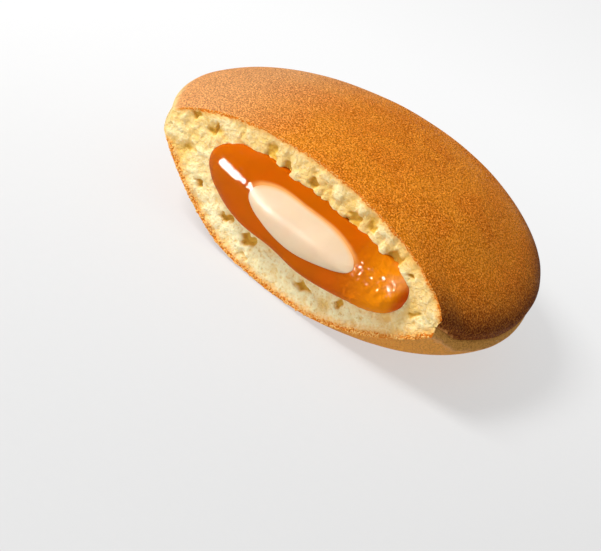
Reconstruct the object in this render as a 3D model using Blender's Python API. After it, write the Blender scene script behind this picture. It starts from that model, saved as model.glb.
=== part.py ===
"""A filled pancake sandwich, cut straight across its front.

Two round pancakes lie face to face around a pool of caramel, and the caramel holds a core of milk
cream. A slice is cut from the front (-Y), so the cut face shows the crumb of both pancakes, the
caramel that bulges out of it and the oval of cream in the middle of the caramel.
The origin is the centre of the flat base, on the axis of the discs. X runs along the cut, Z is up.
"""

import math

import bmesh
import bpy
from mathutils import Matrix, Vector, noise

MM = 0.001

# Driving dimensions of the two pancakes.
RIM_RADIUS = 46.0 * MM
SEAM_HEIGHT = 18.3 * MM
CROWN_HEIGHT = 17.3 * MM
CUT_DISTANCE = 27.1 * MM
HALF_SIDE = 2.3 * MM
BELLY_DEPTH = 27.1 * MM
CROWN_POWER = 0.71
BELLY_POWER = 0.94
BASE_SOFTNESS = 2.3 * MM
BASE_RADIUS = 23.5 * MM
CREASE_DEPTH = 1.1 * MM
GAP = 0.3 * MM

# The rim hangs lower on the right, behind the cut.
DROOP = 4.6 * MM
DROOP_ANGLE = -0.20
DROOP_SPREAD = 0.70
DROOP_TUCK = 0.02
DROOP_INNER = 0.45
DROOP_OUTER = 0.95
DROOP_START = 10.0 * MM

# The filling, measured on the cut face: half sizes, and centres from the disc axis and the seam.
CARAMEL_CENTRE = (2.3 * MM, -1.1 * MM)
CARAMEL_HALF = (26.2 * MM, 7.6 * MM)
CARAMEL_SQUARENESS = 2.5
CARAMEL_BULGE = 4.2 * MM
CARAMEL_SAG = 1.2 * MM
CARAMEL_POOL = (7.9 * MM, 10.4 * MM)
CREAM_CENTRE = (2.8 * MM, -0.6 * MM)
CREAM_HALF = (13.6 * MM, 4.5 * MM)
CREAM_SQUARENESS = 2.0
CREAM_BULGE = 5.1 * MM
CREAM_CAP = 1.6 * MM
CREAM_POOL = (4.8 * MM, 5.2 * MM)
POOL_POWER = 3.0
POOL_INSET = 1.3 * MM
DROP_ROOT = 6.0 * MM

# The holes that a risen batter leaves, on the cut face: centre, half sizes and depth in mm,
# with the centre taken from the disc axis and the seam.
PORES = (
    (-31.7, 4.9, 0.9, 0.8, 1.6),
    (-26.4, 5.0, 0.8, 1.3, 1.7),
    (-12.5, 8.2, 1.6, 1.9, 1.3),
    (-7.4, 7.4, 0.7, 1.2, 1.5),
    (-1.1, 8.6, 1.1, 1.2, 1.8),
    (10.3, 8.0, 1.3, 1.2, 1.4),
    (14.8, 8.4, 0.9, 0.9, 1.2),
    (21.9, 6.0, 1.6, 1.2, 1.8),
    (26.6, 5.2, 0.9, 0.8, 1.2),
    (-24.1, -7.6, 1.2, 0.9, 1.8),
    (-15.0, -10.2, 2.0, 1.1, 1.9),
    (-7.9, -11.6, 2.0, 1.5, 2.2),
    (-7.5, -15.2, 1.2, 0.8, 1.0),
    (7.4, -12.0, 1.8, 1.1, 1.9),
    (16.6, -10.0, 1.0, 0.8, 1.3),
    (22.2, -9.0, 0.9, 0.7, 1.0),
)
CRUMB_WAVE = 0.4 * MM
CRUMB_WAVE_LENGTH = (3.8 * MM, 6.5 * MM)

# Upright cells stand side by side just above the caramel, and one tear slants down on the left.
CELL_SPACING = 4.1 * MM
CELL_DEPTH = 0.45 * MM
CELL_REACH = 4.5 * MM
TEAR_ENDS = ((-31.8 * MM, -6.1 * MM), (-25.0 * MM, 0.5 * MM))
TEAR_HALF_WIDTH = 0.9 * MM
TEAR_DEPTH = 1.0 * MM

# How finely the shapes are divided.
DISC_STEPS = 64
DOME_RINGS = 12
FILLING_STEPS = 44
FILLING_RINGS = 6
RELIEF_STEP = 1.2 * MM
FILLING_TURN = math.radians(2.7)
CRUST_CREASE = 40.0
FILLING_CREASE = 50.0

# How far the cutting blocks reach past the pancakes, and the distance at which points are one.
CUT_MARGIN = 5.0 * MM
SAME_PLACE = 0.005 * MM


def clear_scene():
    for obj in list(bpy.data.objects):
        bpy.data.objects.remove(obj, do_unlink=True)


def smooth_step(value):
    value = min(max(value, 0.0), 1.0)
    return value * value * (3.0 - 2.0 * value)


def soft_minimum(value, ceiling, softness):
    """The smaller of the two, with the corner between them rounded off."""
    share = min(max(0.5 + 0.5 * (ceiling - value) / softness, 0.0), 1.0)
    return ceiling * (1.0 - share) + value * share - softness * share * (1.0 - share)


def dome(radius, height, power):
    """How far a pancake rises from the seam at this radius."""
    share = min(radius / RIM_RADIUS, 1.0)
    return HALF_SIDE + (height - HALF_SIDE) * (1.0 - share * share) ** power


def belly(radius):
    """How far the lower pancake reaches below the seam, flattened where it rests."""
    return soft_minimum(dome(radius, BELLY_DEPTH, BELLY_POWER), SEAM_HEIGHT, BASE_SOFTNESS)


def droop(x, y):
    """The share of the droop at this place, nothing at the cut itself."""
    radius = math.hypot(x, y) / RIM_RADIUS
    behind_cut = smooth_step((y + CUT_DISTANCE) / DROOP_START)
    around = math.exp(-(((math.atan2(y, x) - DROOP_ANGLE) / DROOP_SPREAD) ** 2))
    outwards = smooth_step((min(radius, 1.0) - DROOP_INNER) / (DROOP_OUTER - DROOP_INNER))
    return behind_cut * around * outwards


def caramel_edge(x):
    """How far the caramel's oval reaches up and down from its middle, at this place along the cut."""
    share = min(abs(x - CARAMEL_CENTRE[0]) / CARAMEL_HALF[0], 1.0)
    return CARAMEL_HALF[1] * (1.0 - share ** CARAMEL_SQUARENESS) ** (1.0 / CARAMEL_SQUARENESS)


def tear(x, height):
    """The share of the slanting tear at this place."""
    start, end = (Vector(point) for point in TEAR_ENDS)
    place = Vector((x, height))
    along = min(max((place - start).dot(end - start) / (end - start).length_squared, 0.0), 1.0)
    off = (place - start.lerp(end, along)).length / TEAR_HALF_WIDTH
    return math.exp(-off * off)


def crumb_relief(x, z):
    """How deep the torn crumb lies behind the cut plane."""
    height = z - SEAM_HEIGHT
    across, up = CRUMB_WAVE_LENGTH
    wander = noise.noise(Vector((x / across, z / up, 1.7)))
    above = height - CARAMEL_CENTRE[1] - caramel_edge(x)
    near = smooth_step(1.0 - abs(above) / CELL_REACH)
    cells = math.cos(math.tau * (x / CELL_SPACING + 0.3 * wander))
    depth = CRUMB_WAVE * wander + CELL_DEPTH * near * cells + TEAR_DEPTH * tear(x, height)
    for centre_x, centre_z, half_x, half_z, deep in PORES:
        off_x = (x / MM - centre_x) / half_x
        off_z = (height / MM - centre_z) / half_z
        depth += deep * MM * math.exp(-((off_x * off_x + off_z * off_z) ** 1.5))
    return depth


def material(name, colour, roughness):
    made = bpy.data.materials.new(name)
    made.use_nodes = True
    shader = made.node_tree.nodes["Principled BSDF"]
    shader.inputs["Base Color"].default_value = (*colour, 1.0)
    shader.inputs["Roughness"].default_value = roughness
    shader.inputs["Metallic"].default_value = 0.0
    return made


def object_from(name, mesh_builder, paint=None):
    mesh = bpy.data.meshes.new(name)
    mesh_builder.to_mesh(mesh)
    mesh_builder.free()
    obj = bpy.data.objects.new(name, mesh)
    bpy.context.scene.collection.objects.link(obj)
    if paint:
        mesh.materials.append(paint)
    return obj


def as_cutter(obj):
    obj.hide_render = True
    obj.display_type = "WIRE"
    return obj


def spun(outline, axis, steps):
    """A closed solid turned from an outline that starts and ends on the axis."""
    builder = bmesh.new()
    points = [builder.verts.new(point) for point in outline]
    edges = [builder.edges.new(pair) for pair in zip(points, points[1:])]
    bmesh.ops.spin(
        builder, geom=points + edges, axis=axis, cent=(0, 0, 0), angle=math.tau, steps=steps,
        use_merge=True,
    )
    bmesh.ops.remove_doubles(builder, verts=builder.verts[:], dist=SAME_PLACE)
    bmesh.ops.recalc_face_normals(builder, faces=builder.faces[:])
    return builder


def dome_radii(first, last, rings):
    """Radii from first to last that crowd together at the rim, where the dome turns down."""
    start, end = math.asin(first / last), math.pi / 2
    return [last * math.sin(start + (end - start) * i / rings) for i in range(rings + 1)]


def settle(builder):
    """Lets the rim hang on one side, and keeps the base on the floor."""
    for vertex in builder.verts:
        share = droop(vertex.co.x, vertex.co.y)
        vertex.co.x *= 1.0 - DROOP_TUCK * share
        vertex.co.y *= 1.0 - DROOP_TUCK * share
        vertex.co.z = max(vertex.co.z - DROOP * share, 0.0)


def rim_side():
    """The side of a rim from the crease at the seam outwards, as radii and heights off the seam."""
    return [
        (0.0, GAP / 2),
        (RIM_RADIUS - CREASE_DEPTH, GAP / 2),
        (RIM_RADIUS - CREASE_DEPTH / 4, HALF_SIDE / 2),
    ]


def upper_pancake(paint):
    crown = [(r, dome(r, CROWN_HEIGHT, CROWN_POWER))
             for r in reversed(dome_radii(0.0, RIM_RADIUS, DOME_RINGS))]
    outline = [(r, 0.0, SEAM_HEIGHT + z) for r, z in rim_side() + crown]
    builder = spun(outline, (0, 0, 1), DISC_STEPS)
    settle(builder)
    return object_from("pancake_top", builder, paint)


def lower_pancake(paint):
    underside = [(r, belly(r))
                 for r in reversed(dome_radii(BASE_RADIUS, RIM_RADIUS, DOME_RINGS * 3 // 4))]
    base = [(BASE_RADIUS, SEAM_HEIGHT), (0.0, SEAM_HEIGHT)]
    outline = [(r, 0.0, SEAM_HEIGHT - z) for r, z in rim_side() + underside[:-1] + base]
    builder = spun(outline, (0, 0, 1), DISC_STEPS)
    settle(builder)
    return object_from("pancake_bottom", builder, paint)


def crumb_cutter():
    """The block that takes the slice away. Its back is the torn face of the crumb."""
    width = 2 * RIM_RADIUS
    height = SEAM_HEIGHT + CROWN_HEIGHT + 2 * CUT_MARGIN
    builder = bmesh.new()
    bmesh.ops.create_grid(builder, x_segments=round(width / RELIEF_STEP),
                          y_segments=round(height / RELIEF_STEP), size=0.5)
    for vertex in builder.verts:
        x = vertex.co.x * width
        z = (vertex.co.y + 0.5) * height - CUT_MARGIN
        vertex.co = (x, crumb_relief(x, z) - CUT_DISTANCE, z)
    front = bmesh.ops.extrude_face_region(builder, geom=builder.faces[:])["geom"]
    for vertex in (item for item in front if isinstance(item, bmesh.types.BMVert)):
        vertex.co.y = -RIM_RADIUS - CUT_MARGIN
    bmesh.ops.recalc_face_normals(builder, faces=builder.faces[:])
    return as_cutter(object_from("crumb_cutter", builder))


def filling_cutter():
    """A plain block that ends the pool of filling at the cut."""
    width = 2 * RIM_RADIUS
    height = SEAM_HEIGHT + CROWN_HEIGHT
    depth = RIM_RADIUS + CUT_MARGIN - CUT_DISTANCE
    builder = bmesh.new()
    bmesh.ops.create_cube(builder, size=1.0)
    bmesh.ops.scale(builder, verts=builder.verts[:], vec=(width, depth, height))
    bmesh.ops.translate(builder, verts=builder.verts[:],
                        vec=(0.0, -CUT_DISTANCE - depth / 2, height / 2))
    return as_cutter(object_from("filling_cutter", builder))


def pool(name, centre, half_width, depths, grow):
    """The filling between the pancakes: a round pool, cut just inside the ends of its drop."""
    reach = math.hypot(CUT_DISTANCE, half_width - POOL_INSET) + grow
    radii = dome_radii(0.0, reach, FILLING_RINGS)
    middle = SEAM_HEIGHT + centre[1]
    up, down = depths

    def thickness(radius, most):
        return most * math.sqrt(max(1.0 - (radius / reach) ** POOL_POWER, 0.0))

    above = [(r, middle + thickness(r, up + grow)) for r in radii]
    below = [(r, middle - thickness(r, down + grow)) for r in reversed(radii[:-1])]
    builder = spun([(r, 0.0, z) for r, z in above + below], (0, 0, 1), FILLING_STEPS)
    turn = Matrix.Rotation(FILLING_TURN, 3, "Z")
    bmesh.ops.rotate(builder, verts=builder.verts[:], cent=(0, 0, 0), matrix=turn)
    bmesh.ops.translate(builder, verts=builder.verts[:], vec=(centre[0], 0.0, 0.0))
    return object_from(name, builder)


def drop(name, centre, half, squareness, bulge, cap, sag, grow):
    """The filling that stands proud of the cut: a domed oval, with its root inside the pool."""
    front = []
    for i in range(FILLING_RINGS + 1):
        angle = math.pi / 2 * i / FILLING_RINGS
        front.append((math.sin(angle), -(bulge + grow - cap) - cap * math.cos(angle)))
    outline = front + [(1.0, DROP_ROOT), (0.0, DROP_ROOT)]
    builder = spun([(r, y, 0.0) for r, y in outline], (0, 1, 0), FILLING_STEPS)
    for vertex in builder.verts:
        across, y, up = vertex.co
        radius = math.hypot(across, up)
        around = math.atan2(up, across)
        corner = abs(math.cos(around)) ** squareness + abs(math.sin(around)) ** squareness
        radius *= corner ** (-1.0 / squareness)
        proud = max(-y, 0.0) / bulge
        vertex.co = (
            centre[0] + radius * math.cos(around) * (half[0] + grow),
            y - CUT_DISTANCE,
            SEAM_HEIGHT + centre[1] + radius * math.sin(around) * (half[1] + grow) - sag * proud,
        )
    bmesh.ops.recalc_face_normals(builder, faces=builder.faces[:])
    return object_from(name, builder)


def caramel_shapes(suffix, grow):
    return (
        pool("caramel_pool" + suffix, CARAMEL_CENTRE, CARAMEL_HALF[0], CARAMEL_POOL, grow),
        drop("caramel_drop" + suffix, CARAMEL_CENTRE, CARAMEL_HALF, CARAMEL_SQUARENESS,
             CARAMEL_BULGE, CARAMEL_BULGE, CARAMEL_SAG, grow),
    )


def cream_shapes(suffix, grow):
    return (
        pool("cream_pool" + suffix, CREAM_CENTRE, CREAM_HALF[0], CREAM_POOL, grow),
        drop("cream_drop" + suffix, CREAM_CENTRE, CREAM_HALF, CREAM_SQUARENESS,
             CREAM_BULGE, CREAM_CAP, 0.0, grow),
    )


def without_slivers(mesh):
    """Merges points that a Boolean leaves almost on top of each other."""
    builder = bmesh.new()
    builder.from_mesh(mesh)
    bmesh.ops.triangulate(builder, faces=builder.faces[:])
    bmesh.ops.remove_doubles(builder, verts=builder.verts[:], dist=SAME_PLACE)
    bmesh.ops.dissolve_degenerate(builder, edges=builder.edges[:], dist=SAME_PLACE)
    bmesh.ops.triangulate(builder, faces=builder.faces[:])
    builder.to_mesh(mesh)
    builder.free()


def boolean(obj, operation, *others):
    """Applies Boolean steps to obj, one for each of the other objects."""
    for other in others:
        step = obj.modifiers.new(operation.lower(), "BOOLEAN")
        step.operation = operation
        step.object = other
        bpy.context.view_layer.update()
        graph = bpy.context.evaluated_depsgraph_get()
        result = bpy.data.meshes.new_from_object(obj.evaluated_get(graph))
        obj.modifiers.clear()
        without_slivers(result)
        obj.data = result
    return obj


def filling(name, shapes, paint, cutter, cavity=()):
    """Pool and drop as one solid: the pool ends at the cut, and the drop stands in front of it."""
    pool_part, drop_part = shapes
    boolean(pool_part, "DIFFERENCE", cutter)
    boolean(pool_part, "UNION", drop_part)
    boolean(pool_part, "DIFFERENCE", *cavity)
    bpy.data.objects.remove(drop_part, do_unlink=True)
    pool_part.name = name
    pool_part.data.materials.clear()
    pool_part.data.materials.append(paint)
    return pool_part


def finish(obj, crease_degrees):
    obj.data.shade_smooth()
    obj.data.set_sharp_from_angle(angle=math.radians(crease_degrees))


def build():
    clear_scene()
    crust = material("browned_crust", (0.47, 0.19, 0.05), 0.6)
    pale = material("golden_crust", (0.55, 0.27, 0.08), 0.6)
    amber = material("caramel", (0.65, 0.23, 0.02), 0.15)
    ivory = material("milk_cream", (0.87, 0.74, 0.54), 0.25)

    slice_block = crumb_cutter()
    flat_block = filling_cutter()
    caramel_space = caramel_shapes("_space", GAP)
    cream_space = cream_shapes("_space", GAP)
    for space in (*caramel_space, *cream_space):
        as_cutter(space)

    for pancake in (upper_pancake(crust), lower_pancake(pale)):
        boolean(pancake, "DIFFERENCE", *caramel_space, slice_block)
        finish(pancake, CRUST_CREASE)

    caramel = filling("caramel", caramel_shapes("", 0.0), amber, flat_block, cream_space)
    cream = filling("cream", cream_shapes("", 0.0), ivory, flat_block)
    for piece in (caramel, cream):
        finish(piece, FILLING_CREASE)

    for tool in (slice_block, flat_block, *caramel_space, *cream_space):
        bpy.data.objects.remove(tool, do_unlink=True)


build()
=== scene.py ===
# %% [markdown]
# # A cut filled pancake, dressed for the camera
#
# The real thing is two soft round pancakes that lie face to face. Between them is a pool of
# caramel, and the caramel holds a core of milk cream. A slice is cut from the front, so the
# crumb, the glossy caramel and the cream all show on one flat face.
#
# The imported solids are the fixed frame. They say where everything is and how large it is. This
# script makes a finer piece for each of them, gives it its surface, and puts it in the same place.

# %% Load the frame
import math

import bmesh
import bpy
import numpy as np
from mathutils import Matrix, Vector, noise


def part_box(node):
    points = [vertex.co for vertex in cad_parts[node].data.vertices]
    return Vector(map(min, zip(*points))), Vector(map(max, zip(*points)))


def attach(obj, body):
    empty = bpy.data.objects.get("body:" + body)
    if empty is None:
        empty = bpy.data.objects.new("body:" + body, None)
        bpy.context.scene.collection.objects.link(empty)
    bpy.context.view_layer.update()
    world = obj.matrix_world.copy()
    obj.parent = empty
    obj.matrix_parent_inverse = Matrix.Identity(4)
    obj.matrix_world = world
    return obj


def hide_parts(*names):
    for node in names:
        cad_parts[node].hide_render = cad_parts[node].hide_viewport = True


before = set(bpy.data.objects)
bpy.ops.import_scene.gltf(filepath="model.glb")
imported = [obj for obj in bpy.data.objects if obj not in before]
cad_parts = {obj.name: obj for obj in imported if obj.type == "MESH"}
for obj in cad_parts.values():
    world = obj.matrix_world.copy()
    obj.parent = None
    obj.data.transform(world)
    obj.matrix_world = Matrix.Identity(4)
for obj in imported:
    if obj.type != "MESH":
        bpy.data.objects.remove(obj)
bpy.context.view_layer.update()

MM = 0.001
print("frame nodes:", sorted(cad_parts))

# %% [markdown]
# ## Sizes
#
# The frame gives the rim radius, the height of the seam where the two pancakes meet and the height
# of the crown; the place of the cut is a given number. The shape of a pancake between them is a
# formula: batter that spreads and rises makes a dome, steep at the rim and nearly flat in the
# middle. The power in the formula says how steep the rim is.

# %% Sizes of the pancakes
top_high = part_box("pancake_top")[1]
bottom_low, bottom_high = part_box("pancake_bottom")
FRAME_GAP = 0.3 * MM

RIM_RADIUS = -bottom_low.x
SEAM_HEIGHT = bottom_high.z + FRAME_GAP / 2
CROWN_HEIGHT = top_high.z - SEAM_HEIGHT
CUT_DISTANCE = 27.1 * MM
HALF_SIDE = 2.3 * MM
BELLY_DEPTH = 27.1 * MM
CROWN_POWER = 0.71
BELLY_POWER = 0.94
BASE_SOFTNESS = 2.3 * MM
CREASE_DEPTH = 0.55 * MM
SEAM_GAP = 0.02 * MM


def smooth_step(value):
    value = np.clip(value, 0.0, 1.0)
    return value * value * (3.0 - 2.0 * value)


def dome(radius, height, power):
    """How far a pancake rises from the seam at this radius."""
    share = np.minimum(radius / RIM_RADIUS, 1.0)
    return HALF_SIDE + (height - HALF_SIDE) * (1.0 - share * share) ** power


def belly(radius):
    """How far the lower pancake reaches below the seam, flattened where it rests."""
    value = dome(radius, BELLY_DEPTH, BELLY_POWER)
    share = np.clip(0.5 + 0.5 * (SEAM_HEIGHT - value) / BASE_SOFTNESS, 0.0, 1.0)
    return SEAM_HEIGHT * (1 - share) + value * share - BASE_SOFTNESS * share * (1 - share)


print(f"rim radius {RIM_RADIUS / MM:.1f} mm, seam at {SEAM_HEIGHT / MM:.1f} mm, "
      f"crown {CROWN_HEIGHT / MM:.1f} mm above it")

# %% [markdown]
# ## Small tools
#
# Nodes are wired in many places below, so one short function adds a node and fills its inputs
# with values or with wires. Another turns an object with live modifiers into a plain mesh.

# %% Node and mesh helpers
def add(tree, kind, wires=None, out=0, **settings):
    """Adds a node. wires maps an input's name or number to a value or to another node's output."""
    node = tree.nodes.new(kind)
    for name, value in settings.items():
        setattr(node, name, value)
    for key, value in (wires or {}).items():
        if isinstance(value, bpy.types.NodeSocket):
            tree.links.new(value, node.inputs[key])
        else:
            node.inputs[key].default_value = value
    return node if out is None else node.outputs[out]


def calc(tree, operation, *values):
    """A Math node."""
    return add(tree, "ShaderNodeMath", dict(enumerate(values)), operation=operation)


def times(tree, first, second):
    return calc(tree, "MULTIPLY", first, second)


def new_object(name, data):
    obj = bpy.data.objects.new(name, data)
    bpy.context.scene.collection.objects.link(obj)
    return obj


def discard(*objects):
    for obj in objects:
        bpy.data.objects.remove(obj, do_unlink=True)


def set_input(modifier, label, value):
    """Sets a geometry node modifier's input, found by its label, through its identifier."""
    for item in modifier.node_group.interface.items_tree:
        if item.item_type == "SOCKET" and item.in_out == "INPUT" and item.name == label:
            modifier[item.identifier] = value


def bmesh_shape(name, make, **sizes):
    """A mesh of one of bmesh's own shapes."""
    builder = bmesh.new()
    make(builder, **sizes)
    mesh = bpy.data.meshes.new(name)
    builder.to_mesh(mesh)
    builder.free()
    return mesh


def bake(obj):
    """Turns an object with live modifiers into a plain mesh with its faces pointing out."""
    bpy.context.view_layer.update()
    graph = bpy.context.evaluated_depsgraph_get()
    mesh = bpy.data.meshes.new_from_object(obj.evaluated_get(graph))
    obj.modifiers.clear()
    obj.data = mesh
    builder = bmesh.new()
    builder.from_mesh(mesh)
    if builder.calc_volume(signed=True) < 0:
        bmesh.ops.reverse_faces(builder, faces=builder.faces[:])
        builder.to_mesh(mesh)
    builder.free()
    return obj


def grow(obj, tree, **inputs):
    """Runs a geometry node tree on an object. An input's label has spaces, its keyword has none."""
    modifier = obj.modifiers.new(tree.name, "NODES")
    modifier.node_group = tree
    for label, value in inputs.items():
        set_input(modifier, label.replace("_", " "), value)
    return bake(obj)


def combine(obj, operation, other):
    """A Boolean step. Both meshes are closed and fine, which is what MANIFOLD is quick with."""
    modifier = obj.modifiers.new(operation.lower(), "BOOLEAN")
    modifier.operation = operation
    modifier.solver = "MANIFOLD"
    modifier.object = other
    return bake(obj)


def points_of(mesh):
    place = np.empty(len(mesh.vertices) * 3)
    mesh.vertices.foreach_get("co", place)
    return place.reshape(-1, 3)


def move_points(mesh, place):
    mesh.vertices.foreach_set("co", place.ravel())
    mesh.update()


def store(mesh, name, values):
    """Keeps one number for each point, which a material can read."""
    attribute = mesh.attributes.new(name, "FLOAT", "POINT")
    attribute.data.foreach_set("value", np.asarray(values, dtype=np.float32))

# %% [markdown]
# ## A turned form
#
# Both pancakes and the hidden pools of filling are round. A potter's wheel makes such a shape: a
# half outline turns about the axis. Here a Geometry Nodes tree does it. A flat grid has one row
# of points for each point of the outline, and one column for each step round the axis. Every grid
# point looks up its outline point by its row and turns it by its column. Points that land on each
# other, on the axis and where the turn closes, are merged.

# %% The turning tree
def new_tree(name, kind, inputs, outputs):
    """A node tree with named inputs and outputs, each with its kind of socket."""
    tree = bpy.data.node_groups.new(name, kind + "NodeTree")
    for way, sockets in (("INPUT", inputs), ("OUTPUT", outputs)):
        for label, socket in sockets.items():
            tree.interface.new_socket(label, in_out=way, socket_type="NodeSocket" + socket)
    return tree, tree.nodes.new("NodeGroupInput").outputs


def close_tree(tree, **values):
    """Wires values to a tree's outputs, found by their names."""
    ends = tree.nodes.new("NodeGroupOutput").inputs
    for label, value in values.items():
        tree.links.new(value, ends[label])
    return tree


def close_geometry(tree, geometry, material):
    """Ends a tree with Realize Instances and Set Material."""
    real = add(tree, "GeometryNodeRealizeInstances", {0: geometry})
    painted = add(tree, "GeometryNodeSetMaterial", {"Geometry": real, "Material": material})
    return close_tree(tree, Geometry=painted)


def turning_tree():
    inputs = {"Geometry": "Geometry", "Outline": "Object", "Rings": "Int", "Steps": "Int",
              "Material": "Material"}
    tree, given = new_tree("Turned Form", "Geometry", inputs, {"Geometry": "Geometry"})
    columns = calc(tree, "ADD", given["Steps"], 1)
    grid = add(tree, "GeometryNodeMeshGrid",
               {"Vertices X": columns, "Vertices Y": given["Rings"]})
    index = add(tree, "GeometryNodeInputIndex")
    row = calc(tree, "MODULO", index, given["Rings"])
    column = calc(tree, "FLOOR", calc(tree, "DIVIDE", index, given["Rings"]))
    turn = times(tree, calc(tree, "DIVIDE", column, given["Steps"]), math.tau)
    guide = add(tree, "GeometryNodeObjectInfo", {"Object": given["Outline"]}, out="Geometry")
    place = add(tree, "GeometryNodeInputPosition")
    picked = add(tree, "GeometryNodeSampleIndex", {"Geometry": guide, "Value": place, "Index": row},
                 data_type="FLOAT_VECTOR")
    outline = add(tree, "ShaderNodeSeparateXYZ", {0: picked}, out=None).outputs
    x = times(tree, outline["X"], calc(tree, "COSINE", turn))
    y = times(tree, outline["X"], calc(tree, "SINE", turn))
    turned_place = add(tree, "ShaderNodeCombineXYZ", {"X": x, "Y": y, "Z": outline["Z"]})
    moved = add(tree, "GeometryNodeSetPosition", {"Geometry": grid, "Position": turned_place})
    merged = add(tree, "GeometryNodeMergeByDistance", {"Geometry": moved, "Distance": 0.002 * MM})
    return close_geometry(tree, merged, given["Material"])


TURNING = turning_tree()


def turned(name, outline, steps):
    """A closed solid turned from an outline of radii and heights, from axis to axis."""
    points = [(radius, 0.0, height) for radius, height in outline]
    guide_mesh = bpy.data.meshes.new(name + "_outline")
    guide_mesh.from_pydata(points, [], [])
    guide = new_object(name + "_outline", guide_mesh)
    obj = new_object(name, bpy.data.meshes.new(name))
    grow(obj, TURNING, Outline=guide, Rings=len(points), Steps=steps)
    discard(guide)
    return obj

# %% [markdown]
# ## The two pancakes
#
# The outline of a pancake starts in the middle of the seam, runs out to the rim, rounds the side
# and comes back over the dome. The rings are closest at the rim, where the surface turns down.
# The helper that grows the turned form is called once for each pancake, with its own outline.

# %% Outlines and turned pancakes
PANCAKE_STEPS = 448
DOME_RINGS = 112
SIDE_RINGS = 7
SEAM_RINGS = (0.0, 0.3, 0.6, 0.8, 0.9, 0.96)


def pancake_outline(rise):
    """Radii and heights off the seam. rise gives the height of the dome at a radius."""
    seam = [(share * (RIM_RADIUS - CREASE_DEPTH), SEAM_GAP / 2) for share in SEAM_RINGS]
    side = []
    for i in range(SIDE_RINGS):
        angle = math.pi / 2 * i / SIDE_RINGS
        side.append((RIM_RADIUS - CREASE_DEPTH * (1 - math.sin(angle)),
                     SEAM_GAP / 2 + (HALF_SIDE - SEAM_GAP / 2) * (1 - math.cos(angle))))
    angles = np.linspace(math.pi / 2, 0.0, DOME_RINGS)
    crown = [(RIM_RADIUS * math.sin(a), float(rise(RIM_RADIUS * math.sin(a)))) for a in angles]
    crown[-1] = (0.0, crown[-1][1])
    return seam + side + crown


top_outline = pancake_outline(lambda r: dome(r, CROWN_HEIGHT, CROWN_POWER))
bottom_outline = pancake_outline(belly)
top = turned("pancake_top_baked", [(r, SEAM_HEIGHT + z) for r, z in top_outline], PANCAKE_STEPS)
bottom = turned("pancake_bottom_baked", [(r, SEAM_HEIGHT - z) for r, z in bottom_outline],
                PANCAKE_STEPS)
print("turned pancakes:", len(top.data.polygons), "and", len(bottom.data.polygons), "faces")

# %% [markdown]
# ## How the pancakes settle
#
# A turned form is too perfect for cake. A pancake is soft, so it settles: the rim hangs lower on
# the right, the two faces press into each other in shallow waves, and the whole dome is a little
# uneven. One function moves the points, and a second one undoes the larger part of that move. The
# marks further down use it to find how deep a point lies under the skin.

# %% How the pancakes settle
DROOP = 4.6 * MM
DROOP_ANGLE = -0.20
DROOP_SPREAD = 0.70
DROOP_TUCK = 0.02
DROOP_INNER = 0.45
DROOP_OUTER = 0.95
DROOP_START = 8.0 * MM
DROOP_AT_CUT = 0.3
PRESS_WAVE = 0.8 * MM
PRESS_LENGTH = 9.0 * MM
PRESS_REACH = 2.5 * MM
SWELL = 0.22 * MM
SWELL_LENGTH = 11.0 * MM


def droop(x, y):
    """The share of the droop at this place, less at the cut than behind it."""
    radius = np.hypot(x, y) / RIM_RADIUS
    behind_cut = smooth_step((y + CUT_DISTANCE) / DROOP_START)
    behind_cut = DROOP_AT_CUT + (1.0 - DROOP_AT_CUT) * behind_cut
    around = np.exp(-(((np.arctan2(y, x) - DROOP_ANGLE) / DROOP_SPREAD) ** 2))
    outwards = smooth_step((np.minimum(radius, 1.0) - DROOP_INNER) / (DROOP_OUTER - DROOP_INNER))
    return behind_cut * around * outwards


def noise_at(place, length, seed=0.0):
    """Blender's soft noise at each point, with bumps about as far apart as length."""
    return np.array([noise.noise(Vector(p) + Vector((seed, 0.0, seed)))
                     for p in (place / length).tolist()])


def press_wave(x, y):
    """How far the seam wanders up and down, where the soft faces press together."""
    flat = np.stack([x, y, np.zeros_like(x)], axis=1)
    return PRESS_WAVE * noise_at(flat, PRESS_LENGTH, 3.0)


def settle(mesh):
    place = points_of(mesh)
    x, y, z = place.T
    share = droop(x, y)
    rise = z - SEAM_HEIGHT
    pressed = np.exp(-((rise / PRESS_REACH) ** 2)) * press_wave(x, y)
    out = place - [0.0, 0.0, SEAM_HEIGHT]
    out /= np.linalg.norm(out, axis=1, keepdims=True) + 1e-9
    swell = SWELL * noise_at(place, SWELL_LENGTH, 7.0) * smooth_step(np.abs(rise) / (4 * MM))
    place = place + out * swell[:, None]
    place[:, :2] *= (1.0 - DROOP_TUCK * share)[:, None]
    place[:, 2] += pressed - DROOP * share
    on_floor = z < 0.3 * MM
    place[:, 2] = np.where(on_floor, 0.0, np.maximum(place[:, 2], 0.0))
    move_points(mesh, place)


def unsettled(place):
    """Where points were before they settled, as radii and heights off the seam."""
    x, y = place[:, 0].copy(), place[:, 1].copy()
    for _ in range(4):
        share = droop(x, y)
        x = place[:, 0] / (1.0 - DROOP_TUCK * share)
        y = place[:, 1] / (1.0 - DROOP_TUCK * share)
    return np.hypot(x, y), place[:, 2] - SEAM_HEIGHT + DROOP * share


for pancake in (top, bottom):
    settle(pancake.data)
print("settled; the rim hangs", DROOP / MM, "mm lower on the right")
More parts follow.
